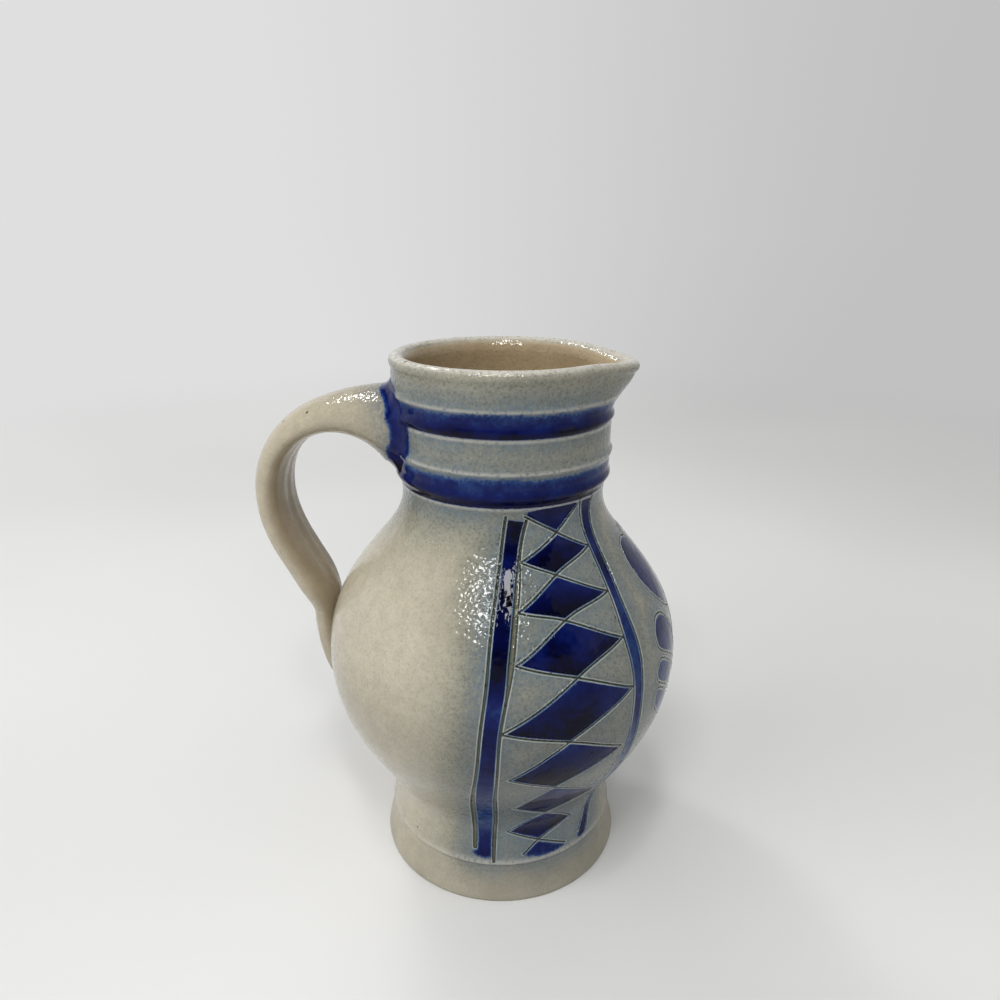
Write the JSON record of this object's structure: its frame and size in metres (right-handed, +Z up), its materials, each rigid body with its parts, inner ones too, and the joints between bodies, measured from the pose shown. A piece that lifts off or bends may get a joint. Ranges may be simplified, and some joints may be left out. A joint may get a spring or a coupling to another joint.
{
  "type": "pitcher",
  "caption": "Grey salt-glazed stoneware pitcher with a round belly, short foot, ribbed neck, pinched spout, strap handle and incised cobalt-blue ornament.",
  "frame": {"origin": "centre of the flat base, on the axis of the thrown body", "axes": "+Z up along the axis of the thrown body, +X towards the spout, -X towards the handle, +Y across"},
  "size_m": [0.1358, 0.1132, 0.17],
  "materials": {
    "salt_glazed_stoneware": "grey salt glaze with orange-peel grain, incised lines and glossy cobalt blue fields",
    "salt_glazed_handle": "warm grey salt glaze with shallow pulling grooves",
    "cobalt_painted_lute": "glossy cobalt blue brushed round the root of the handle",
    "salt_glazed_lute": "warm grey salt glaze, smeared with the thumb"
  },
  "bodies": {
    "root": {"thrown_body": "salt_glazed_stoneware", "pulled_handle": "salt_glazed_handle", "upper_handle_lute": "cobalt_painted_lute", "lower_handle_lute": "salt_glazed_lute"}
  },
  "joints": []
}
